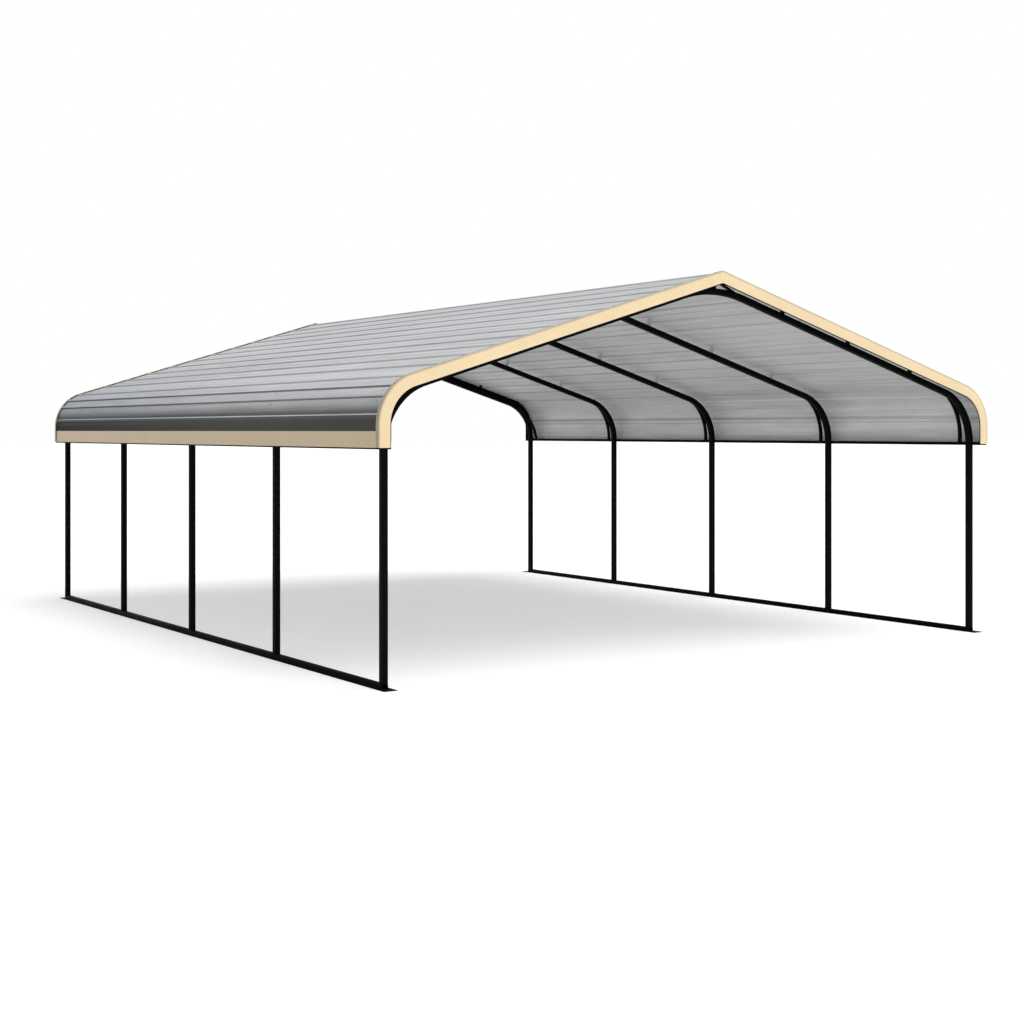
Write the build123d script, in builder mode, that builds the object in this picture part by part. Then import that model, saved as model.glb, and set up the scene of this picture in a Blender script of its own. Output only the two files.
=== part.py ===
from build123d import *
import math
import os

# Plan of the frame: X across the drive, Y along it with the front gable at -Y, Z up from the ground
post_span = 6096.0
bay_length = 1830.0
bay_count = 4

# Square tube of the posts and ribs
tube_side = 50.0
tube_wall = 2.5
tube_corner = 5.0

# Base rails: a flat strip on the ground with a rail on it that carries the posts
strip_width = 110.0
strip_thick = 5.0
strip_tab = 85.0
rail_height = 33.0
anchor_diameter = 14.0

# Roof form
eave_height = 1714.0
roof_slope_degrees = 17.1
rib_bend_radius = 475.0
rib_rise = 30.5
peak_radius = 1100.0
roof_overhang = 100.0

# Eave rail and the short purlins on the ribs, which hold the sheet off the frame by the same distance
sheet_standoff = 68.0
eave_rail_height = 28.0
purlin_crown = 16.0
purlin_foot = 12.0
purlin_length = 44.0

# Ribbed roof sheet, with its ribs along the roof
sheet_thick = 2.0
sheet_bend_radius = 380.0
first_crest = 75.0
crest_pitch = 265.0
crest_height = 10.0
crest_width = 20.0
crest_foot = 11.0
bead_height = 3.0
bead_width = 16.0
bead_foot = 7.0
ridge_crest_count = 2
eave_crest_count = 2
seam_share = 0.25

# Crests round the eave bend, up from the sheet's lower edge
high_crest_drop = 488.0
middle_crest_drop = 388.0
low_crest_drop = 224.0

# Trims and the closing strips behind the gable trims
trim_thick = 2.0
gable_trim_width = 96.0
gable_trim_lap = 40.0
eave_trim_height = 118.0
eave_trim_lift = 11.0
closure_thick = 3.0
closure_reveal = 8.0

# Ridge brackets on the ribs' rounded peaks
bracket_width = 40.0
bracket_strut = 30.0
bracket_arm = 14.0
bracket_reach = 230.0
bracket_head = 36.0

# Eave stays beside the ribs' bends
stay_side = 28.0
stay_offset = 120.0
stay_foot_clearance = 0.3
stay_rib_clearance = 1.7
stay_low_share = 0.4
stay_turn_degrees = 58.0

# Sizes that follow from the ones above
post_x = post_span / 2
post_face_x = post_x + tube_side / 2
frame_ys = [bay_length * (i - bay_count / 2) for i in range(bay_count + 1)]
end_face_y = frame_ys[-1] + tube_side / 2
roof_half_length = end_face_y + roof_overhang
sheet_half_length = roof_half_length - trim_thick
rail_top = strip_thick + rail_height
slope = math.radians(roof_slope_degrees)
rise, run = math.sin(slope), math.cos(slope)

# Rib bend and peak, on the tube's centre line
rib_bend_x = post_x - rib_bend_radius
rib_bend_z = eave_height + rib_rise
peak_z = rib_bend_z + (rib_bend_x * rise + rib_bend_radius - peak_radius) / run

# Outer flat face of the sheet: ridge, straight slope, eave bend and a short upright skirt
skin_gap = sheet_standoff + sheet_thick
skin_bend_x = post_face_x + skin_gap - sheet_bend_radius
rib_face_reach = rib_bend_x * rise + rib_bend_z * run + rib_bend_radius + tube_side / 2
skin_bend_z = (rib_face_reach + skin_gap - sheet_bend_radius - skin_bend_x * rise) / run
ridge_z = skin_bend_z + (skin_bend_x * rise + sheet_bend_radius) / run
slope_length = (skin_bend_x + sheet_bend_radius * rise) / run
bend_length = sheet_bend_radius * (math.pi / 2 - slope)
skirt_start = slope_length + bend_length
sheet_low_z = eave_height + eave_trim_lift
skirt_end = skirt_start + skin_bend_z - sheet_low_z
closure_end = skirt_start + skin_bend_z - eave_height
trim_top = crest_height + trim_thick
closure_low = trim_top - gable_trim_width - closure_reveal
eave_trim_start = skirt_end - eave_trim_height

# Crests on the slope, and the seams between the panels
crest_reach = crest_width / 2 + crest_foot
slope_crest_count = math.floor((slope_length - crest_reach - first_crest) / crest_pitch) + 1
field_crest_count = (slope_crest_count - ridge_crest_count - eave_crest_count) // 2
seam_3 = first_crest + crest_pitch * (slope_crest_count - eave_crest_count - seam_share)
seam_2 = seam_3 - field_crest_count * crest_pitch
seam_1 = seam_2 - field_crest_count * crest_pitch

gable_plane = Plane.XZ


def save(builder, name):
    builder.part.label = name
    export_step(builder.part, f"parts/{name}.step")


def skin_point(side, girth, height):
    """Point of the roof's section: girth along the sheet from the ridge, height off its outer flat face."""
    if girth <= slope_length:
        x = girth * run + height * rise
        z = ridge_z - girth * rise + height * run
    elif girth <= skirt_start:
        turned = math.pi / 2 - slope - (girth - slope_length) / sheet_bend_radius
        x = skin_bend_x + (sheet_bend_radius + height) * math.cos(turned)
        z = skin_bend_z + (sheet_bend_radius + height) * math.sin(turned)
    else:
        x = skin_bend_x + sheet_bend_radius + height
        z = skin_bend_z - (girth - skirt_start)
    return (side * x, z)


def mitre(girth, height):
    """A run that starts at the ridge is cut there on the roof's middle plane."""
    return girth - height * rise / run if girth == 0 else girth


def skin_run(side, start, end, height):
    """Draw one run along the sheet, straight on the slope and skirt and an arc round the eave bend."""
    start = mitre(start, height)
    stops = [g for g in (slope_length, skirt_start) if start < g < end]
    marks = [start] + stops + [end]
    for low, high in zip(marks, marks[1:]):
        first = skin_point(side, low, height)
        last = skin_point(side, high, height)
        if slope_length <= low and high <= skirt_start:
            ThreePointArc(first, skin_point(side, (low + high) / 2, height), last)
        else:
            Line(first, last)


def skin_link(side, start, low, end, high):
    Line(skin_point(side, mitre(start, low), low), skin_point(side, mitre(end, high), high))


def skin_band(side, start, end, low, high):
    """Outline of a band that follows the roof between two heights."""
    skin_run(side, start, end, high)
    skin_link(side, end, high, end, low)
    skin_run(side, start, end, low)
    skin_link(side, start, low, start, high)


def sheet_folds(start, end):
    """Folds of one panel as middle, half top, foot and lift: crests, and beads between those of the slope."""
    crests = [first_crest + crest_pitch * i for i in range(slope_crest_count)]
    crests = crests + [skirt_end - drop for drop in (high_crest_drop, middle_crest_drop, low_crest_drop)]
    beads = [(low + high) / 2 for low, high in zip(crests, crests[1:slope_crest_count + 1])]
    folds = [(middle, crest_width / 2, crest_foot, crest_height) for middle in crests]
    folds = folds + [(middle, bead_width / 2, bead_foot, bead_height) for middle in beads]
    return sorted(fold for fold in folds if start < fold[0] < end)


def sheet_face(side, start, end, height):
    """One face of the ribbed sheet, from girth start to girth end."""
    mark = start
    for middle, top, foot, lift in sheet_folds(start, end):
        skin_run(side, mark, middle - top - foot, height)
        skin_link(side, middle - top - foot, height, middle - top, height + lift)
        skin_run(side, middle - top, middle + top, height + lift)
        skin_link(side, middle + top, height + lift, middle + top + foot, height)
        mark = middle + top + foot
    skin_run(side, mark, end, height)


def sheet_outline(side, start, end):
    sheet_face(side, start, end, 0)
    skin_link(side, end, 0, end, -sheet_thick)
    sheet_face(side, start, end, -sheet_thick)
    if start > 0:
        skin_link(side, start, -sheet_thick, start, 0)


def rib_run(inset):
    """One edge of a rib, from the right foot over the peak to the left foot."""
    bend = rib_bend_radius + inset
    peak = peak_radius + inset
    bend_end = (rib_bend_x + bend * rise, rib_bend_z + bend * run)
    peak_end = (peak * rise, peak_z + peak * run)
    flat = roof_slope_degrees
    quarter = 90
    for side in (1, -1):
        Line((side * (post_x + inset), eave_height), (side * (post_x + inset), rib_bend_z))
        Line((side * bend_end[0], bend_end[1]), (side * peak_end[0], peak_end[1]))
    CenterArc((rib_bend_x, rib_bend_z), bend, 0, quarter - flat)
    CenterArc((-rib_bend_x, rib_bend_z), bend, quarter + flat, quarter - flat)
    CenterArc((0, peak_z), peak, quarter - flat, 2 * flat)


def rib_outline(half_depth):
    rib_run(half_depth)
    rib_run(-half_depth)
    for side in (1, -1):
        Line((side * (post_x - half_depth), eave_height), (side * (post_x + half_depth), eave_height))


def make_base_rail(name, side):
    rail_half_length = end_face_y
    strip_half_length = end_face_y + strip_tab
    anchor_y = end_face_y + strip_tab / 2
    with BuildPart() as rail:
        with BuildSketch(Plane((side * post_x, 0, 0))):
            Rectangle(strip_width, 2 * strip_half_length)
            with Locations((0, anchor_y), (0, -anchor_y)):
                Circle(anchor_diameter / 2, mode=Mode.SUBTRACT)
        extrude(amount=strip_thick)
        with BuildSketch(Plane((side * post_x, 0, strip_thick))):
            Rectangle(tube_side, 2 * rail_half_length)
        extrude(amount=rail_height)
        with BuildSketch(Plane((side * post_x, 0, strip_thick))):
            Rectangle(tube_side - 2 * tube_wall, 2 * rail_half_length)
        extrude(amount=rail_height - tube_wall, mode=Mode.SUBTRACT)
    save(rail, name)


def make_post(name, side, y):
    with BuildPart() as post:
        with BuildSketch(Plane((side * post_x, y, rail_top))):
            RectangleRounded(tube_side, tube_side, tube_corner)
            Rectangle(tube_side - 2 * tube_wall, tube_side - 2 * tube_wall, mode=Mode.SUBTRACT)
        extrude(amount=eave_height - rail_top)
    save(post, name)


def make_rib(name, y):
    with BuildPart() as rib:
        with BuildSketch(gable_plane.offset(-y)):
            with BuildLine():
                rib_outline(tube_side / 2)
            make_face()
        extrude(amount=tube_side / 2, both=True)
        with BuildSketch(gable_plane.offset(-y)):
            with BuildLine():
                rib_outline(tube_side / 2 - tube_wall)
            make_face()
        extrude(amount=tube_side / 2 - tube_wall, both=True, mode=Mode.SUBTRACT)
    save(rib, name)


def make_ridge_brackets(name):
    seat_radius = peak_radius + tube_side / 2
    half_strut = bracket_strut / 2
    apex_z = ridge_z - sheet_thick / run
    head_z = apex_z - half_strut * rise / run
    arm_low_z = peak_z + math.sqrt(seat_radius**2 - bracket_reach**2)
    with BuildPart() as brackets:
        for y in frame_ys:
            with BuildSketch(gable_plane.offset(-y)):
                with BuildLine():
                    Polyline((-half_strut, peak_z + peak_radius), (half_strut, peak_z + peak_radius),
                             (half_strut, head_z), (0, apex_z), (-half_strut, head_z), close=True)
                make_face()
                for side in (1, -1):
                    with BuildLine():
                        Polyline((0, apex_z - bracket_head), (side * bracket_reach, arm_low_z),
                                 (side * bracket_reach, arm_low_z - bracket_arm),
                                 (0, apex_z - bracket_head - bracket_arm), close=True)
                    make_face()
                with Locations((0, peak_z)):
                    Circle(seat_radius, mode=Mode.SUBTRACT)
            extrude(amount=bracket_width / 2, both=True)
    save(brackets, name)


def make_eave_stays(name, side):
    foot_x = post_face_x - stay_side / 2 - stay_foot_clearance
    foot_z = eave_height + eave_rail_height / 2
    touch = tube_side / 2 + stay_side / 2 + stay_rib_clearance
    with BuildPart() as stays:
        for y in frame_ys:
            along = 1 if y < frame_ys[-1] else -1
            points = [(side * foot_x, y + along * stay_offset, foot_z)]
            for turn_share in (stay_low_share, 1):
                turned = math.radians(stay_turn_degrees) * turn_share
                points.append((
                    side * (rib_bend_x + rib_bend_radius * math.cos(turned)),
                    y + along * (stay_offset + (touch - stay_offset) * turn_share),
                    rib_bend_z + rib_bend_radius * math.sin(turned),
                ))
            with BuildLine() as path:
                ThreePointArc(*points)
            with BuildSketch(Plane(origin=path.line @ 0, x_dir=(1, 0, 0), z_dir=path.line % 0)):
                Rectangle(stay_side, stay_side)
            sweep()
    save(stays, name)


def make_eave_rail(name, side):
    middle_x = side * (post_face_x + sheet_standoff / 2)
    middle_z = eave_height + eave_rail_height / 2
    with BuildPart() as rail:
        with BuildSketch(gable_plane):
            with Locations((middle_x, middle_z)):
                Rectangle(sheet_standoff, eave_rail_height)
                Rectangle(sheet_standoff - 2 * tube_wall, eave_rail_height - 2 * tube_wall, mode=Mode.SUBTRACT)
        extrude(amount=sheet_half_length - closure_thick, both=True)
    save(rail, name)


def make_purlins(name, side):
    top = -sheet_thick
    low = top - sheet_standoff
    half = purlin_crown / 2
    reach = half + purlin_foot
    section = [(half, top), (half, low + tube_wall), (reach, low + tube_wall), (reach, low),
               (half - tube_wall, low), (half - tube_wall, top - tube_wall)]
    section = section + [(-along, height) for along, height in reversed(section)]
    with BuildPart() as purlins:
        for seam in (seam_1, seam_2, seam_3):
            for y in frame_ys:
                with BuildSketch(gable_plane.offset(-y)):
                    with BuildLine():
                        Polyline(*[skin_point(side, seam + a, height) for a, height in section], close=True)
                    make_face()
                extrude(amount=purlin_length / 2, both=True)
    save(purlins, name)


def make_panel(name, side, start, end):
    with BuildPart() as panel:
        with BuildSketch(gable_plane):
            with BuildLine():
                sheet_outline(side, start, end)
            make_face()
        extrude(amount=sheet_half_length, both=True)
    save(panel, name)


def make_ridge_panel(name):
    with BuildPart() as panel:
        with BuildSketch(gable_plane):
            with BuildLine():
                sheet_outline(1, 0, seam_1)
                sheet_outline(-1, 0, seam_1)
            make_face()
        extrude(amount=sheet_half_length, both=True)
    save(panel, name)


def make_gable_trim(name, side, end):
    face_plane = gable_plane.offset(-end * roof_half_length)
    inward = end
    with BuildPart() as trim:
        with BuildSketch(face_plane):
            with BuildLine():
                skin_band(side, 0, skirt_end, trim_top - gable_trim_width, trim_top)
            make_face()
        extrude(amount=inward * trim_thick)
        with BuildSketch(face_plane):
            with BuildLine():
                skin_band(side, 0, skirt_end, crest_height, trim_top)
            make_face()
        extrude(amount=inward * gable_trim_lap)
    save(trim, name)


def make_closure(name, side, end):
    with BuildPart() as closure:
        with BuildSketch(gable_plane.offset(-end * sheet_half_length)):
            with BuildLine():
                skin_band(side, 0, closure_end, closure_low, -sheet_thick)
            make_face()
        extrude(amount=end * closure_thick)
    save(closure, name)


def make_eave_trim(name, side):
    with BuildPart() as trim:
        with BuildSketch(gable_plane):
            with BuildLine():
                skin_band(side, eave_trim_start, skirt_end, 0, trim_thick)
            make_face()
        extrude(amount=sheet_half_length, both=True)
    save(trim, name)


os.makedirs("parts", exist_ok=True)
make_ridge_panel("ridge_panel")
make_ridge_brackets("ridge_brackets")
for number, frame_y in enumerate(frame_ys, start=1):
    make_rib(f"rib_{number}", frame_y)
for side_name, side_sign in (("left", -1), ("right", 1)):
    make_base_rail(f"{side_name}_base_rail", side_sign)
    for number, frame_y in enumerate(frame_ys, start=1):
        make_post(f"{side_name}_post_{number}", side_sign, frame_y)
    make_eave_rail(f"{side_name}_eave_rail", side_sign)
    make_eave_stays(f"{side_name}_eave_stays", side_sign)
    make_purlins(f"{side_name}_purlins", side_sign)
    make_panel(f"{side_name}_upper_panel", side_sign, seam_1, seam_2)
    make_panel(f"{side_name}_lower_panel", side_sign, seam_2, seam_3)
    make_panel(f"{side_name}_eave_panel", side_sign, seam_3, skirt_end)
    make_eave_trim(f"{side_name}_eave_trim", side_sign)
    for end_name, end_sign in (("front", -1), ("back", 1)):
        make_gable_trim(f"{end_name}_{side_name}_gable_trim", side_sign, end_sign)
        make_closure(f"{end_name}_{side_name}_gable_strip", side_sign, end_sign)
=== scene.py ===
import math

import bpy
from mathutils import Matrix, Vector


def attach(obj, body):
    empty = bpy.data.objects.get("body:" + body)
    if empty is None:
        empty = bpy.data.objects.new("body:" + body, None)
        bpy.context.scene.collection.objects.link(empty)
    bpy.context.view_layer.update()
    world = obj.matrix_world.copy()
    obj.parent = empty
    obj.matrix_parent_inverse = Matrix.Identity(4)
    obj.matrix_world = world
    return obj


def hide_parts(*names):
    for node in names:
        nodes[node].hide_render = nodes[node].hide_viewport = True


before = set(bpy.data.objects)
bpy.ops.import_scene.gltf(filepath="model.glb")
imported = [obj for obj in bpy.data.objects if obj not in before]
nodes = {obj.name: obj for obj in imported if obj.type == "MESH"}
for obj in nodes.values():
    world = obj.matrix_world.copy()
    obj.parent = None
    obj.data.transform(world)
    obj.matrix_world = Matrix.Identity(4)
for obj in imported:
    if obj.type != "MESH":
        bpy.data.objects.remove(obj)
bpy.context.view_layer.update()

scene = bpy.context.scene

# Sizes of the frame, in metres
sides = {"left": -1, "right": 1}
post_x = 3.048
tube_half = 0.025
bay_length = 1.83
bay_count = 4
frame_ys = [bay_length * (i - bay_count / 2) for i in range(bay_count + 1)]
rail_top = 0.038
eave_height = 1.714
slope = math.radians(17.1)
rise, run = math.sin(slope), math.cos(slope)
rib_rise = 0.0305
rib_bend_radius = 0.475
rib_bend_x = post_x - rib_bend_radius
rib_bend_z = eave_height + rib_rise
rib_reach = rib_bend_x * rise + rib_bend_z * run + rib_bend_radius + tube_half

# The roof sheet's section: a girth runs down from the ridge over slope, bend and upright skirt
sheet_gap = 0.070
sheet_outer_x = post_x + tube_half + sheet_gap
sheet_bend_radius = 0.380
skin_bend_x = sheet_outer_x - sheet_bend_radius
skin_bend_z = (rib_reach + sheet_gap - sheet_bend_radius - skin_bend_x * rise) / run
ridge_z = skin_bend_z + (skin_bend_x * rise + sheet_bend_radius) / run
slope_length = (skin_bend_x + sheet_bend_radius * rise) / run
skirt_start = slope_length + sheet_bend_radius * (math.pi / 2 - slope)
eave_trim_lift = 0.011
skirt_end = skirt_start + skin_bend_z - (eave_height + eave_trim_lift)
roof_half_length = 3.785

# Folds of the sheet
first_crest = 0.075
crest_pitch = 0.265
crest_half = 0.021
crest_top_width = 0.020
crest_tall = 0.0095
bead_half = 0.013
slope_crest_count = 11
slope_crests = [first_crest + crest_pitch * i for i in range(slope_crest_count)]
top_fold_girth = 3.03
fold_sink = 0.001
fold_shoulder_radius = 0.003
bend_crest_drops = (0.488, 0.388, 0.224)
bend_crests = [skirt_end - drop for drop in bend_crest_drops]
crests = slope_crests + [top_fold_girth] + bend_crests

# Trims
trim_top = 0.012
trim_thick = 0.002
trim_fold_radius = 0.005
gable_trim_lap = 0.040
eave_trim_height = 0.118

# Screws: how far beside a fold, how high on the eave trim, and how far from rail and eave on a post
screw_beside_fold = 0.048
trim_screw_share = 0.8
joint_above_rail = 0.045
joint_below_eave = 0.045
joint_above_eave = 0.018


def skin_place(side, girth, height=0.0):
    """Point in the gable plane and outward direction on the sheet, girth metres down from the ridge."""
    if girth <= slope_length:
        point = Vector((girth * run, 0, ridge_z - girth * rise))
        out = Vector((rise, 0, run))
    elif girth <= skirt_start:
        turned = math.pi / 2 - slope - (girth - slope_length) / sheet_bend_radius
        out = Vector((math.cos(turned), 0, math.sin(turned)))
        point = Vector((skin_bend_x, 0, skin_bend_z)) + out * sheet_bend_radius
    else:
        out = Vector((1, 0, 0))
        point = Vector((sheet_outer_x, 0, skin_bend_z - (girth - skirt_start)))
    point = point + out * height
    return Vector((side * point.x, 0, point.z)), Vector((side * out.x, 0, out.z))


def skin_height(point):
    """How far a point lies off the sheet's outer flat face."""
    x, z = abs(point.x), point.z
    if z < skin_bend_z:
        return x - sheet_outer_x
    if x * run - (z - ridge_z) * rise > slope_length:
        return math.hypot(x - skin_bend_x, z - skin_bend_z) - sheet_bend_radius
    return x * rise + (z - ridge_z) * run


# Steps that the finishes share
def set_socket(tree, socket, value):
    """Give a socket a value, or a link where the value is another node's socket."""
    if isinstance(value, bpy.types.NodeSocket):
        tree.links.new(value, socket)
    else:
        socket.default_value = value


def add_node(tree, kind, settings=None, **inputs):
    """A shader node with its settings and inputs, named by word, or by number after an underscore."""
    made = tree.nodes.new(kind)
    for key, value in (settings or {}).items():
        setattr(made, key, value)
    for key, value in inputs.items():
        number = key[1:]
        socket = made.inputs[int(number)] if number.isdigit() else made.inputs[key.replace("_", " ")]
        set_socket(tree, socket, value)
    return made


def blend_colours(tree, mode, factor, first, second):
    """Two colours blended; a mix node keeps its colour sockets behind those for numbers and vectors."""
    made = add_node(tree, "ShaderNodeMix", {"data_type": "RGBA", "blend_type": mode},
                    _0=factor, _6=first, _7=second)
    return made.outputs[2]


def ramp(tree, factor, stops):
    """A colour ramp from pairs of place and colour, or place and grey."""
    made = add_node(tree, "ShaderNodeValToRGB", Fac=factor)
    points = made.color_ramp.elements
    while len(points) < len(stops):
        points.new(0.5)
    for point, (place, colour) in zip(points, stops):
        point.position = place
        point.color = (*colour, 1) if isinstance(colour, tuple) else (colour, colour, colour, 1)
    return made.outputs["Color"]


def start_finish(name):
    finish = bpy.data.materials.new(name)
    finish.use_nodes = True
    tree = finish.node_tree
    tree.nodes.clear()
    shader = add_node(tree, "ShaderNodeBsdfPrincipled")
    add_node(tree, "ShaderNodeOutputMaterial", Surface=shader.outputs[0])
    place = add_node(tree, "ShaderNodeTexCoord").outputs["Object"]
    return finish, tree, shader, place


def stretched(tree, place, scale):
    return add_node(tree, "ShaderNodeMapping", Vector=place, Scale=scale).outputs[0]


def noise(tree, place, scale, detail=3.0, rough=0.55):
    made = add_node(tree, "ShaderNodeTexNoise", Vector=place, Scale=scale, Detail=detail, Roughness=rough)
    return made.outputs[0]


def spangle_cells(tree, place, scale):
    """Grey cells, as the crystals of a zinc coating."""
    cells = add_node(tree, "ShaderNodeTexVoronoi", Vector=place, Scale=scale).outputs["Color"]
    return add_node(tree, "ShaderNodeRGBToBW", Color=cells).outputs[0]


def remap(tree, value, low, high, start=0.0, end=1.0):
    """A value that runs from start to end, made to run from low to high and held there."""
    made = add_node(tree, "ShaderNodeMapRange", Value=value,
                    From_Min=start, From_Max=end, To_Min=low, To_Max=high)
    return made.outputs[0]


def bump(tree, shader, height, strength, distance):
    made = add_node(tree, "ShaderNodeBump", Height=height, Strength=strength, Distance=distance)
    tree.links.new(made.outputs[0], shader.inputs["Normal"])


def arithmetic(tree, operation, first, second=0.0, third=0.0):
    made = add_node(tree, "ShaderNodeMath", {"operation": operation}, _0=first, _1=second, _2=third)
    return made.outputs[0]


def shade(tree, tone, pattern, low, high):
    """A tone times a pattern, whose low and high ends are pairs of place and grey."""
    return blend_colours(tree, "MULTIPLY", 1.0, tone, ramp(tree, pattern, (low, high)))


def section_axes(tree, place):
    """A place's axes, its distance across from the ridge and its girth, as on the slope."""
    axes = add_node(tree, "ShaderNodeSeparateXYZ", Vector=place)
    across = arithmetic(tree, "ABSOLUTE", axes.outputs["X"])
    fall = arithmetic(tree, "MULTIPLY_ADD", axes.outputs["Z"], -rise, ridge_z * rise)
    return axes, across, arithmetic(tree, "MULTIPLY_ADD", across, run, fall)


# Roof sheet: half widths of the painted shade marks along the folds, and how far above the lowest fold its
# mark lies
crest_mark_half = 0.009
bead_mark_half = 0.005
bead_mark_strength = 0.5
low_mark_half = 0.014
low_foot_share = 1.5

# Height that tells outer faces from inner ones, heights above which the bend's painted shade is held pale,
# and the facings of the upright skirt and of the bend just above it
section_heart_z = 1.2
bend_lift_low_z, bend_lift_high_z = 2.05, 2.09
skirt_facing, bend_facing = 0.50, 0.58
skirt_roughness_gain = 0.24


def mark_at(tree, value, middle, strength, half_width):
    """A soft thin mark where a value comes near its middle."""
    off = arithmetic(tree, "ABSOLUTE", arithmetic(tree, "SUBTRACT", value, middle))
    return remap(tree, off, strength, 0.0, half_width / 4, half_width)


def fold_shade_marks(tree, place):
    """Thin dark marks of painted shade in the feet of the folds."""
    axes, across, girth = section_axes(tree, place)
    turn = arithmetic(tree, "MULTIPLY_ADD", girth, 1 / crest_pitch, 0.5 - first_crest / crest_pitch)
    off_crest = arithmetic(tree, "SUBTRACT", arithmetic(tree, "FRACT", turn), 0.5)
    off_crest = arithmetic(tree, "MULTIPLY", off_crest, crest_pitch)
    off_bead = arithmetic(tree, "SUBTRACT", crest_pitch / 2, arithmetic(tree, "ABSOLUTE", off_crest))
    crest_mark = mark_at(tree, off_crest, crest_half, 1.0, crest_mark_half)
    bead_mark = mark_at(tree, off_bead, bead_half, bead_mark_strength, bead_mark_half)
    shade_marks = arithmetic(tree, "MAXIMUM", crest_mark, bead_mark)
    on_slope = arithmetic(tree, "LESS_THAN", girth, slope_crests[-1] + crest_pitch / 4)
    shade_marks = arithmetic(tree, "MULTIPLY", shade_marks, on_slope)
    top_mark = mark_at(tree, girth, top_fold_girth + crest_half, 1.0, crest_mark_half)
    shade_marks = arithmetic(tree, "MAXIMUM", shade_marks, top_mark)
    low_foot = skin_place(1, bend_crests[-1] - crest_half * low_foot_share)[0].z
    low_mark = mark_at(tree, axes.outputs["Z"], low_foot, 1.0, low_mark_half)
    shade_marks = arithmetic(tree, "MAXIMUM", shade_marks, low_mark)
    return shade_marks, girth, axes


def outer_side(tree, place, normal):
    """One on the sheet's outer faces and nothing on its inner ones, told by the section's heart."""
    middle = add_node(tree, "ShaderNodeVectorMath", {"operation": "MULTIPLY_ADD"},
                      _0=place, _1=(1, 0, 1), _2=(0, 0, -section_heart_z))
    outward = add_node(tree, "ShaderNodeVectorMath", {"operation": "DOT_PRODUCT"},
                       _0=middle.outputs[0], _1=normal)
    return remap(tree, outward.outputs["Value"], 0.0, 1.0, -0.05, 0.05)


def painted_reflection_tone(tree, facing, outer):
    """Painted reflection and shade by which way the sheet faces, from 0 for straight down to 1 for straight
    up.
    """
    # Outer faces: painted reflection and shade, dark where the sheet faces out and pale where it faces up
    outer_painted_reflection = ramp(tree, facing, (
        (0.0, (0.09, 0.09, 0.088)),
        (0.30, (0.036, 0.037, 0.033)),
        (0.50, (0.042, 0.044, 0.038)),
        (0.55, (0.050, 0.052, 0.048)),
        (0.64, (0.120, 0.123, 0.122)),
        (0.685, (0.285, 0.288, 0.291)),
        (0.715, (0.375, 0.379, 0.385)),
        (0.75, (0.450, 0.455, 0.466)),
        (0.81, (0.515, 0.522, 0.540)),
        (0.978, (0.510, 0.517, 0.534)),
    ))
    # Inner faces: painted light, paler where the inside faces sideways than where it faces down
    inner_painted_light = ramp(tree, facing, ((0.05, (0.50, 0.508, 0.50)), (0.45, (0.70, 0.708, 0.695))))
    return blend_colours(tree, "MIX", outer, inner_painted_light, outer_painted_reflection)


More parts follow.
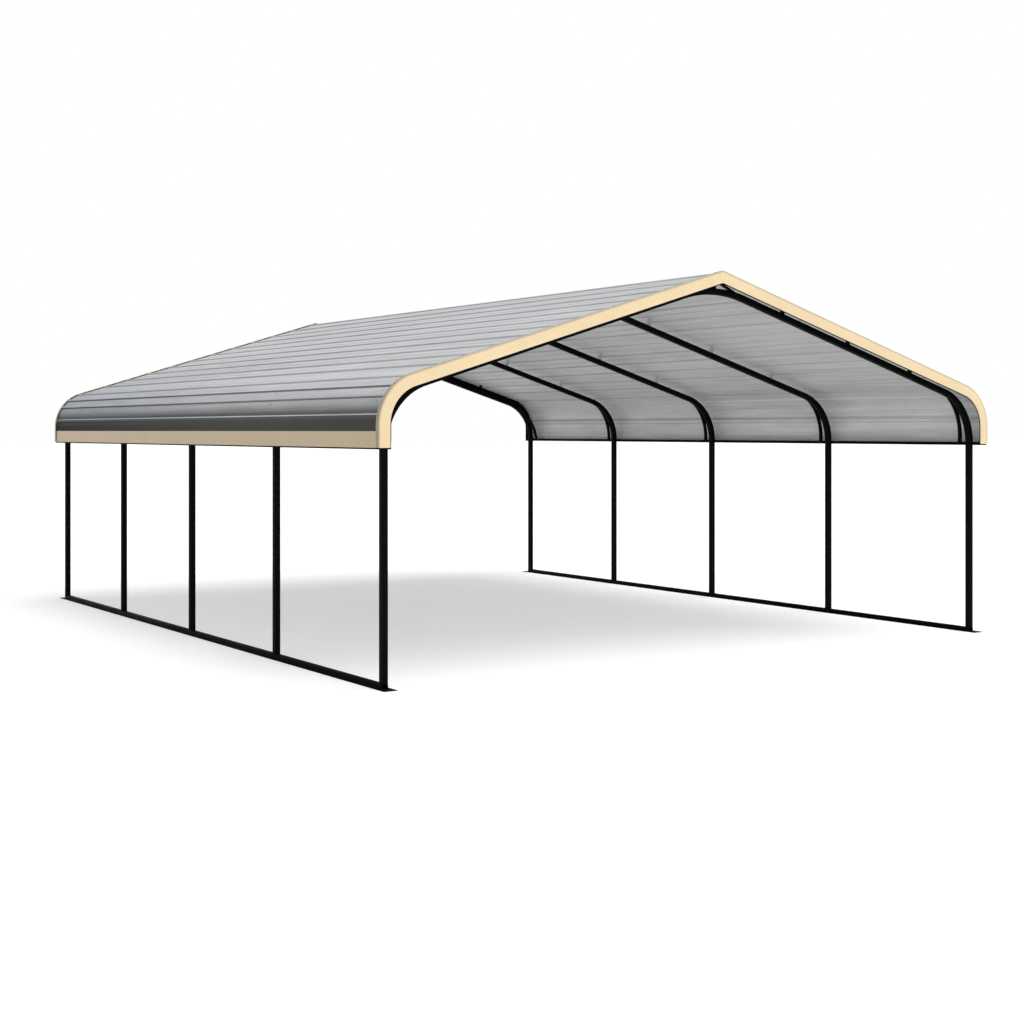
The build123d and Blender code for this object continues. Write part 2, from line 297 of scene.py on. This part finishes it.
def sheet_finish(name):
    """Coated steel sheet with painted reflection: pale where it faces up, dark where it faces out, and a pale
    backer inside with painted light, paler where it faces sideways.
    """
    finish, tree, shader, place = start_finish(name)
    normal = add_node(tree, "ShaderNodeNewGeometry").outputs["Normal"]
    facing = add_node(tree, "ShaderNodeSeparateXYZ", Vector=normal).outputs["Z"]
    facing = remap(tree, facing, 0.0, 1.0, -1.0, 1.0)
    outer = outer_side(tree, place, normal)
    tone = painted_reflection_tone(tree, facing, outer)
    shade_marks, girth, axes = fold_shade_marks(tree, place)
    # Above the bend the painted shade is held no darker than a set grey
    above_bend = remap(tree, axes.outputs["Z"], 0.0, 1.0, bend_lift_low_z, bend_lift_high_z)
    tone = blend_colours(tree, "LIGHTEN", above_bend, tone, (0.17, 0.172, 0.174, 1))

    # Rolling lines along the roof, with shorter dashes, broad bands, clouds and spangle
    lines = noise(tree, stretched(tree, place, (36.0, 0.26, 36.0)), scale=1.0, detail=4.0)
    dashes = noise(tree, stretched(tree, place, (15.0, 1.7, 15.0)), scale=1.0)
    bands = noise(tree, stretched(tree, place, (9.0, 0.16, 9.0)), scale=1.0)
    clouds = noise(tree, stretched(tree, place, (1.0, 0.6, 1.0)), scale=1.1)
    spangle = spangle_cells(tree, place, scale=75.0)
    tone = shade(tree, tone, lines, (0.32, 0.87), (0.68, 1.10))
    tone = shade(tree, tone, dashes, (0.32, 0.94), (0.68, 1.08))
    tone = shade(tree, tone, bands, (0.32, 0.95), (0.68, 1.04))
    tone = shade(tree, tone, clouds, (0.32, 0.97), (0.68, 1.03))
    tone = shade(tree, tone, spangle, (0.2, 0.97), (0.8, 1.03))

    # A cooler, deeper tone low on the roof toward the back, and painted shade marks in the fold feet that
    # fade toward the front
    far_end = remap(tree, axes.outputs["Y"], 0.0, 1.0, -roof_half_length / 2, roof_half_length)
    low_on_slope = remap(tree, girth, 0.0, 1.0, slope_length / 2, slope_length)
    cool = arithmetic(tree, "MULTIPLY", arithmetic(tree, "MULTIPLY", far_end, low_on_slope), outer)
    tone = blend_colours(tree, "MULTIPLY", cool, tone, (0.64, 0.662, 0.695, 1))
    on_skirt = arithmetic(tree, "MULTIPLY", remap(tree, facing, 1.0, 0.0, skirt_facing, bend_facing), outer)
    deep = arithmetic(tree, "MULTIPLY", far_end, on_skirt)
    tone = blend_colours(tree, "MULTIPLY", deep, tone, (0.58, 0.58, 0.58, 1))
    shade_mark_strength = remap(tree, axes.outputs["Y"], 0.15, 0.54, -roof_half_length, 0.0)
    shade_marks = arithmetic(tree, "MULTIPLY", shade_marks, shade_mark_strength)
    tone = blend_colours(tree, "MULTIPLY", shade_marks, tone, (0.22, 0.22, 0.23, 1))

    tree.links.new(tone, shader.inputs["Base Color"])
    rough = arithmetic(tree, "MULTIPLY_ADD", deep, skirt_roughness_gain, remap(tree, lines, 0.34, 0.50))
    tree.links.new(rough, shader.inputs["Roughness"])
    metal = arithmetic(tree, "MULTIPLY", outer, remap(tree, facing, 0.0, 0.40, 0.55, 0.85))
    tree.links.new(metal, shader.inputs["Metallic"])
    shader.inputs["Specular IOR Level"].default_value = 0.06
    bump(tree, shader, lines, strength=0.12, distance=0.002)
    return finish


# Trim, frame and fastener finishes
def fold_edge_shade(tree, place, reach):
    """Painted shade mask: one along the trim's outer edge, where the paint turns over the fold, and nothing
    further in.
    """
    axes, across, girth = section_axes(tree, place)
    height = axes.outputs["Z"]

    # Distance off the flat of the slope or the skirt, whichever is more
    drop = arithmetic(tree, "SUBTRACT", height, ridge_z)
    off_slope = arithmetic(tree, "MULTIPLY_ADD", across, rise, arithmetic(tree, "MULTIPLY", drop, run))
    off_skirt = arithmetic(tree, "SUBTRACT", across, sheet_outer_x)
    off_straight = arithmetic(tree, "MAXIMUM", off_slope, off_skirt)

    # Distance off the bend, which counts only between slope and skirt
    beyond_x = arithmetic(tree, "SUBTRACT", across, skin_bend_x)
    beyond_z = arithmetic(tree, "SUBTRACT", height, skin_bend_z)
    square_z = arithmetic(tree, "MULTIPLY", beyond_z, beyond_z)
    reach_out = arithmetic(tree, "SQRT", arithmetic(tree, "MULTIPLY_ADD", beyond_x, beyond_x, square_z))
    off_bend = arithmetic(tree, "SUBTRACT", reach_out, sheet_bend_radius)
    past_slope = arithmetic(tree, "GREATER_THAN", girth, slope_length)
    above_skirt = arithmetic(tree, "GREATER_THAN", beyond_z, 0.0)
    on_bend = arithmetic(tree, "MULTIPLY", past_slope, above_skirt)
    gap = arithmetic(tree, "SUBTRACT", off_bend, off_straight)
    off_sheet = arithmetic(tree, "MULTIPLY_ADD", gap, on_bend, off_straight)
    return remap(tree, off_sheet, 0.0, 1.0, trim_top - reach, trim_top - reach / 2)


def trim_finish(name, low, high, edge_shade_reach=0.0):
    """Cream baked paint with a faint orange peel, a little drift and, if asked for, painted shade along the
    outer edge.
    """
    finish, tree, shader, place = start_finish(name)
    drift = noise(tree, place, scale=2.3)
    peel = noise(tree, place, scale=700.0, detail=2.0)
    streak = noise(tree, stretched(tree, place, (22.0, 0.7, 22.0)), scale=1.0)
    tone = ramp(tree, drift, ((0.3, low), (0.7, high)))
    tone = shade(tree, tone, streak, (0.3, 0.975), (0.7, 1.01))
    if edge_shade_reach:
        edge = fold_edge_shade(tree, place, edge_shade_reach)
        # Painted shade darkens the cream along the outer fold
        tone = blend_colours(tree, "MULTIPLY", edge, tone, (0.70, 0.725, 0.75, 1))
    tree.links.new(tone, shader.inputs["Base Color"])
    tree.links.new(remap(tree, streak, 0.36, 0.50), shader.inputs["Roughness"])
    shader.inputs["Specular IOR Level"].default_value = 0.3
    bump(tree, shader, peel, strength=0.05, distance=0.0006)
    return finish


def frame_finish(name):
    """Black powder coat, nearly matt, with a little drift in its sheen."""
    finish, tree, shader, place = start_finish(name)
    drift = noise(tree, place, scale=6.0, detail=4.0)
    grain = noise(tree, place, scale=900.0, detail=2.0)
    tone = ramp(tree, drift, ((0.3, (0.0022, 0.0022, 0.0024)), (0.7, (0.0042, 0.0041, 0.0040))))
    tree.links.new(tone, shader.inputs["Base Color"])
    tree.links.new(remap(tree, drift, 0.56, 0.74, 0.3, 0.7), shader.inputs["Roughness"])
    shader.inputs["Specular IOR Level"].default_value = 0.03
    bump(tree, shader, grain, strength=0.03, distance=0.0005)
    return finish


def screw_finish(name):
    """Screw paint that follows the sheet's painted reflection: pale on the slopes, dark below the bend."""
    finish, tree, shader, place = start_finish(name)
    height = add_node(tree, "ShaderNodeSeparateXYZ", Vector=place).outputs["Z"]
    level = remap(tree, height, 0.0, 1.0, skin_bend_z, skin_bend_z + sheet_bend_radius)
    tone = ramp(tree, level, ((0.05, (0.075, 0.078, 0.072)), (0.85, (0.60, 0.606, 0.62))))
    wear = noise(tree, place, scale=260.0, detail=2.0)
    tone = shade(tree, tone, wear, (0.3, 0.93), (0.7, 1.04))
    tree.links.new(tone, shader.inputs["Base Color"])
    tree.links.new(remap(tree, wear, 0.40, 0.55), shader.inputs["Roughness"])
    shader.inputs["Specular IOR Level"].default_value = 0.1
    return finish


def galvanised_finish(name):
    """Galvanised strip, a pale grey with spangle and a little drift, painted black on the end ribs."""
    finish, tree, shader, place = start_finish(name)
    spangle = spangle_cells(tree, place, scale=110.0)
    tone = ramp(tree, spangle, ((0.2, (0.72, 0.728, 0.72)), (0.8, (0.78, 0.788, 0.78))))
    drift = noise(tree, place, scale=9.0)
    tone = shade(tree, tone, drift, (0.3, 0.95), (0.7, 1.03))
    along = add_node(tree, "ShaderNodeSeparateXYZ", Vector=place).outputs["Y"]
    from_middle = arithmetic(tree, "ABSOLUTE", along)
    on_end_rib = arithmetic(tree, "GREATER_THAN", from_middle, frame_ys[-1] - bay_length / 2)
    tone = blend_colours(tree, "MIX", on_end_rib, tone, (0.0035, 0.0035, 0.0036, 1))
    tree.links.new(tone, shader.inputs["Base Color"])
    tree.links.new(remap(tree, drift, 0.42, 0.58), shader.inputs["Roughness"])
    shader.inputs["Metallic"].default_value = 0.10
    shader.inputs["Specular IOR Level"].default_value = 0.1
    return finish


sheet = sheet_finish("coated_roof_sheet")
roof_screw_painted_reflection = screw_finish("roof_screw_painted_reflection")
galvanised = galvanised_finish("galvanised_strip")
cream = trim_finish("cream_paint", (0.87, 0.69, 0.425), (0.92, 0.735, 0.455), edge_shade_reach=0.018)
# The eave trims' cream is the same paint darkened: painted shade
shaded_cream = trim_finish("cream_paint_painted_shade", (0.56, 0.445, 0.29), (0.60, 0.475, 0.31))
# The cream on the gable trims' fold, lap and lap screws is darkened: painted shade
shaded_fold_cream = trim_finish("cream_paint_fold_shade", (0.33, 0.285, 0.20), (0.39, 0.335, 0.235))
black = frame_finish("black_powder_coat")
finish_of_slot = {"roof_sheet": sheet, "trim_paint": cream, "frame_paint": black}

for name, node in nodes.items():
    for slot in node.material_slots:
        slot.material = finish_of_slot[slot.material.name]
        # Eave trims take the cream with painted shade
        if name.endswith("eave_trim"):
            slot.material = shaded_cream
        if name.endswith("purlins"):
            slot.material = galvanised


# Modelling steps that the pieces share
merge_distance = 0.00002


def clear_selection():
    if bpy.context.object and bpy.context.object.mode != "OBJECT":
        bpy.ops.object.mode_set(mode="OBJECT")
    bpy.ops.object.select_all(action="DESELECT")


def take(piece):
    clear_selection()
    piece.select_set(True)
    bpy.context.view_layer.objects.active = piece


def fix_place():
    """Put the place, turn and scale of what is selected into its mesh."""
    bpy.ops.object.transform_apply(location=True, rotation=True, scale=True)


def pick(piece, kind, wanted):
    """In edit mode, select only the faces or edges that pass a test of their place."""
    bpy.ops.mesh.select_mode(type=kind)
    bpy.ops.mesh.select_all(action="DESELECT")
    bpy.ops.object.mode_set(mode="OBJECT")
    mesh = piece.data
    for part in (mesh.polygons if kind == "FACE" else mesh.edges):
        part.select = wanted(part)
    bpy.ops.object.mode_set(mode="EDIT")


def faces_up(face):
    return face.normal.z > 0.9


def keep(piece, name, finish=None):
    """Name a finished piece, give it its finish and let it ride on the frame."""
    piece.name = name
    piece.data.name = name
    if finish:
        piece.data.materials.clear()
        piece.data.materials.append(finish)
    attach(piece, "root")
    return piece


def copy_of(piece):
    take(piece)
    bpy.ops.object.duplicate(linked=False)
    return bpy.context.object


def merged_copy(node_name):
    """A copy of a solid with its loose triangles merged, left open in edit mode."""
    piece = copy_of(nodes[node_name])
    bpy.ops.object.mode_set(mode="EDIT")
    bpy.ops.mesh.select_all(action="SELECT")
    bpy.ops.mesh.remove_doubles(threshold=merge_distance)
    bpy.ops.mesh.customdata_custom_splitnormals_clear()
    return piece


def smooth(degrees):
    bpy.ops.object.shade_smooth_by_angle(angle=math.radians(degrees))


def joined(pieces):
    clear_selection()
    for piece in pieces:
        piece.select_set(True)
    bpy.context.view_layer.objects.active = pieces[0]
    fix_place()
    bpy.ops.object.join()
    return bpy.context.object


# Screws: a hex head on a dished washer, with shares of each one's radius and thickness
washer_corners, head_corners = 12, 6
washer_inset_share, washer_dish_share = 0.3, 0.6
head_inset_share, head_crown_share = 0.18, 0.16
head_seat_share = 1.4


def model_disc(corners, radius, thick, low, inset_share, lift_share):
    """An upright disc or hexagon with its top pulled in and raised."""
    clear_selection()
    bpy.ops.mesh.primitive_cylinder_add(vertices=corners, radius=radius, depth=thick,
                                        location=(0, 0, low + thick / 2))
    disc = bpy.context.object
    fix_place()
    bpy.ops.object.mode_set(mode="EDIT")
    pick(disc, "FACE", faces_up)
    bpy.ops.mesh.inset(thickness=radius * inset_share)
    bpy.ops.transform.translate(value=(0, 0, thick * lift_share))
    bpy.ops.object.mode_set(mode="OBJECT")
    return disc


def model_screw(washer_radius, washer_thick, head_radius, head_tall):
    washer = model_disc(washer_corners, washer_radius, washer_thick, 0, washer_inset_share, washer_dish_share)
    head_low = washer_thick * head_seat_share
    head = model_disc(head_corners, head_radius, head_tall, head_low, head_inset_share, head_crown_share)
    screw = joined([washer, head])
    screw.name = "screw_pattern"
    return screw


def set_screws(screw, places):
    """Copies of a screw, each turned to its outward direction, joined into one row."""
    copies = []
    for point, out in places:
        copy = copy_of(screw)
        copy.location = point
        copy.rotation_euler = out.to_track_quat("Z", "Y").to_euler()
        copies.append(copy)
    return joined(copies)


def repeat_along(row, ys, stem, finish):
    """Copies of a row that was set at y = 0, one at each place along the roof."""
    for number, y in enumerate(ys, start=1):
        copy = copy_of(row)
        copy.location = (0, y, 0)
        fix_place()
        keep(copy, f"{stem}_{number}", finish)
    bpy.data.objects.remove(row)


roof_screw = model_screw(washer_radius=0.0075, washer_thick=0.0016, head_radius=0.0047, head_tall=0.0045)
places = [skin_place(side, girth + screw_beside_fold) for side in sides.values() for girth in crests]
roof_row = set_screws(roof_screw, places)
repeat_along(roof_row, frame_ys, "roof_screws", roof_screw_painted_reflection)

trim_screw = model_screw(washer_radius=0.006, washer_thick=0.0012, head_radius=0.0042, head_tall=0.0036)

# On the gable trims a screw at every second fold, on the eave trims one at every half bay
lap_middle = roof_half_length - gable_trim_lap / 2
places = [skin_place(side, girth, trim_top) for side in sides.values() for girth in crests[::2]]
lap_row = set_screws(trim_screw, places)
repeat_along(lap_row, (-lap_middle, lap_middle), "gable_trim_screws", shaded_fold_cream)

trim_screw_girth = skirt_end - eave_trim_height * trim_screw_share
places = [skin_place(side, trim_screw_girth, trim_thick) for side in sides.values()]
eave_pair = set_screws(trim_screw, places)
eave_screw_ys = [bay_length / 2 * (i - bay_count) for i in range(2 * bay_count + 1)]
repeat_along(eave_pair, eave_screw_ys, "eave_trim_screws", shaded_cream)

joint_screw = model_screw(washer_radius=0.0068, washer_thick=0.0012, head_radius=0.0047, head_tall=0.0042)
joint_heights = (rail_top + joint_above_rail, eave_height - joint_below_eave, eave_height + joint_above_eave)
places = []
for side in sides.values():
    for height in joint_heights:
        for way in (-1, 1):
            places.append((Vector((side * post_x, way * tube_half, height)), Vector((0, way, 0))))
joint_row = set_screws(joint_screw, places)
repeat_along(joint_row, frame_ys, "joint_screws", black)
for pattern in (roof_screw, trim_screw, joint_screw):
    bpy.data.objects.remove(pattern)


# The fold where the slope turns into the bend
def model_top_fold(side):
    tall = crest_tall + fold_sink
    length = 2 * (roof_half_length - trim_thick * 2)
    clear_selection()
    bpy.ops.mesh.primitive_cube_add(size=1, location=(0, 0, tall / 2), scale=(2 * crest_half, length, tall))
    fold = bpy.context.object
    fix_place()
    bpy.ops.object.mode_set(mode="EDIT")
    pick(fold, "FACE", faces_up)
    bpy.ops.transform.resize(value=(crest_top_width / (2 * crest_half), 1, 1))

    def on_shoulder(edge):
        first, second = (fold.data.vertices[v].co for v in edge.vertices)
        lowest = min(first.z, second.z)
        return lowest > tall / 2 and abs(first.y - second.y) > length / 2

    pick(fold, "EDGE", on_shoulder)
    bpy.ops.mesh.bevel(offset=fold_shoulder_radius, segments=2, affect="EDGES")
    bpy.ops.object.mode_set(mode="OBJECT")
    point, out = skin_place(side, top_fold_girth, -fold_sink)
    fold.rotation_euler = (0, math.atan2(out.x, out.z), 0)
    fold.location = point
    fix_place()
    smooth(degrees=30)
    return fold


for side_name, side in sides.items():
    keep(model_top_fold(side), f"{side_name}_top_fold", sheet)


# Frame pieces with the rounded corners of rolled tube and folded strip
def rounded_copy(node_name, radius, least_angle=60):
    """A copy of a solid with its sharp edges rounded, which stands for the solid."""
    piece = merged_copy(node_name)
    bpy.ops.object.mode_set(mode="OBJECT")
    rounding = piece.modifiers.new("rounding", "BEVEL")
    rounding.width = radius
    rounding.segments = 2
    rounding.limit_method = "ANGLE"
    rounding.angle_limit = math.radians(least_angle)
    rounding.miter_outer = "MITER_ARC"
    bpy.ops.object.modifier_apply(modifier=rounding.name)
    smooth(degrees=35)
    return piece


def stand_in(piece, node_name, ending):
    """Keep a piece that shows in place of the solid that it was copied from."""
    keep(piece, f"{node_name}_{ending}")
    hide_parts(node_name)


tube_rounding = 0.0045
base_rail_rounding = 0.0014
eave_rail_rounding = 0.0012
stay_rounding = 0.0030
bracket_rounding = 0.0020

for number in range(1, bay_count + 2):
    node_name = f"rib_{number}"
    stand_in(rounded_copy(node_name, tube_rounding), node_name, "rounded")
for side_name in sides:
    for stem, radius in (("base_rail", base_rail_rounding), ("eave_rail", eave_rail_rounding),
                         ("eave_stays", stay_rounding)):
        node_name = f"{side_name}_{stem}"
        stand_in(rounded_copy(node_name, radius), node_name, "rounded")
brackets = rounded_copy("ridge_brackets", bracket_rounding, least_angle=50)
stand_in(brackets, "ridge_brackets", "rounded")


# Gable trims with the round fold between face and lap, and painted shade on fold and lap
def folded_trim(node_name):
    piece = merged_copy(node_name)
    near = trim_thick / 5

    def on_fold(edge):
        ends = [piece.data.vertices[v].co for v in edge.vertices]
        at_end = all(abs(abs(p.y) - roof_half_length) < near for p in ends)
        return at_end and all(abs(skin_height(p) - trim_top) < near for p in ends)

    pick(piece, "EDGE", on_fold)
    bpy.ops.mesh.bevel(offset=trim_fold_radius, segments=3, affect="EDGES")
    # Fold and lap faces take the cream with painted shade
    piece.data.materials.append(shaded_fold_cream)

    def on_lap(face):
        return skin_height(face.center) > trim_top - trim_fold_radius and abs(face.normal.y) < 0.95

    pick(piece, "FACE", on_lap)
    piece.active_material_index = len(piece.data.materials) - 1
    bpy.ops.object.material_slot_assign()
    bpy.ops.object.mode_set(mode="OBJECT")
    smooth(degrees=40)
    return piece


for end_name in ("front", "back"):
    for side_name in sides:
        node_name = f"{end_name}_{side_name}_gable_trim"
        stand_in(folded_trim(node_name), node_name, "folded")


# Floor and light
def seen_directly(tree, ray_names):
    """One for the kinds of ray that show a surface as a plain background."""
    path = add_node(tree, "ShaderNodeLightPath")
    seen = path.outputs[ray_names[0]]
    for ray_name in ray_names[1:]:
        seen = arithmetic(tree, "MAXIMUM", seen, path.outputs[ray_name])
    return seen


floor_size = 400
floor_grey = (0.80, 0.80, 0.80, 1)
floor_lift = 0.34
clear_selection()
bpy.ops.mesh.primitive_plane_add(size=floor_size, location=(0, 0, 0))
floor = bpy.context.object
floor.name = "studio_floor"
floor_paint = bpy.data.materials.new("studio_floor_white")
floor_paint.use_nodes = True
tree = floor_paint.node_tree
tree.nodes.clear()
matt = add_node(tree, "ShaderNodeBsdfDiffuse", Color=floor_grey)
lift = add_node(tree, "ShaderNodeEmission", Color=(1, 1, 1, 1), Strength=floor_lift)
both = add_node(tree, "ShaderNodeAddShader", _0=matt.outputs[0], _1=lift.outputs[0])
seen = seen_directly(tree, ("Is Camera Ray", "Is Glossy Ray"))
choose = add_node(tree, "ShaderNodeMixShader", _0=seen, _1=matt.outputs[0], _2=both.outputs[0])
add_node(tree, "ShaderNodeOutputMaterial", Surface=choose.outputs[0])
floor.data.materials.append(floor_paint)

front_light, back_light = 1.15, 0.48
soft_colour = (0.97, 0.98, 1.0, 1)
world = bpy.data.worlds.new("studio_white")
scene.world = world
world.use_nodes = True
tree = world.node_tree
tree.nodes.clear()
seen = seen_directly(tree, ("Is Camera Ray", "Is Glossy Ray", "Is Transmission Ray"))
toward = add_node(tree, "ShaderNodeTexCoord").outputs["Generated"]
along = add_node(tree, "ShaderNodeSeparateXYZ", Vector=toward).outputs["Y"]
soft_strength = remap(tree, along, front_light, back_light, -1.0, 0.0)
soft = add_node(tree, "ShaderNodeBackground", Color=soft_colour, Strength=soft_strength)
white = add_node(tree, "ShaderNodeBackground", Color=(1, 1, 1, 1), Strength=1.0)
choose = add_node(tree, "ShaderNodeMixShader", _0=seen, _1=soft.outputs[0], _2=white.outputs[0])
add_node(tree, "ShaderNodeOutputWorld", Surface=choose.outputs[0])

key_direction = Vector((-0.28, 0.22, -0.93))
key_data = bpy.data.lights.new("key_sun", "SUN")
key_data.energy = 1.7
key_data.angle = math.radians(50)
key_data.color = (1.0, 0.99, 0.97)
key = bpy.data.objects.new("key_sun", key_data)
key.rotation_euler = key_direction.to_track_quat("-Z", "Y").to_euler()
scene.collection.objects.link(key)

fill_width, fill_length, fill_height = 5.6, 7.0, 0.03
fill_data = bpy.data.lights.new("under_roof_fill", "AREA")
fill_data.shape = "RECTANGLE"
fill_data.size = fill_width
fill_data.size_y = fill_length
fill_data.energy = 36
fill = bpy.data.objects.new("under_roof_fill", fill_data)
fill.location = (0, 0, fill_height)
fill.rotation_euler = (math.radians(180), 0, 0)
fill.visible_camera = False
fill.visible_glossy = False
scene.collection.objects.link(fill)

# Camera: level, with its focal length and its horizon's shift measured in the photo's pixels
photo_width = 1024
focal_pixels = 1596.83
horizon_shift_pixels = 81.48
camera_place = (-8.4498, -13.738, 1.8478)
camera_yaw = math.radians(32.7936)
camera_data = bpy.data.cameras.new("photo_camera")
camera_data.sensor_width = 36.0
camera_data.lens = camera_data.sensor_width * focal_pixels / photo_width
camera_data.shift_y = -horizon_shift_pixels / photo_width
camera_data.clip_end = 300
camera = bpy.data.objects.new("photo_camera", camera_data)
camera.location = camera_place
camera.rotation_euler = (math.radians(90), 0, -camera_yaw)
scene.collection.objects.link(camera)
scene.camera = camera
scene.view_settings.view_transform = "Standard"
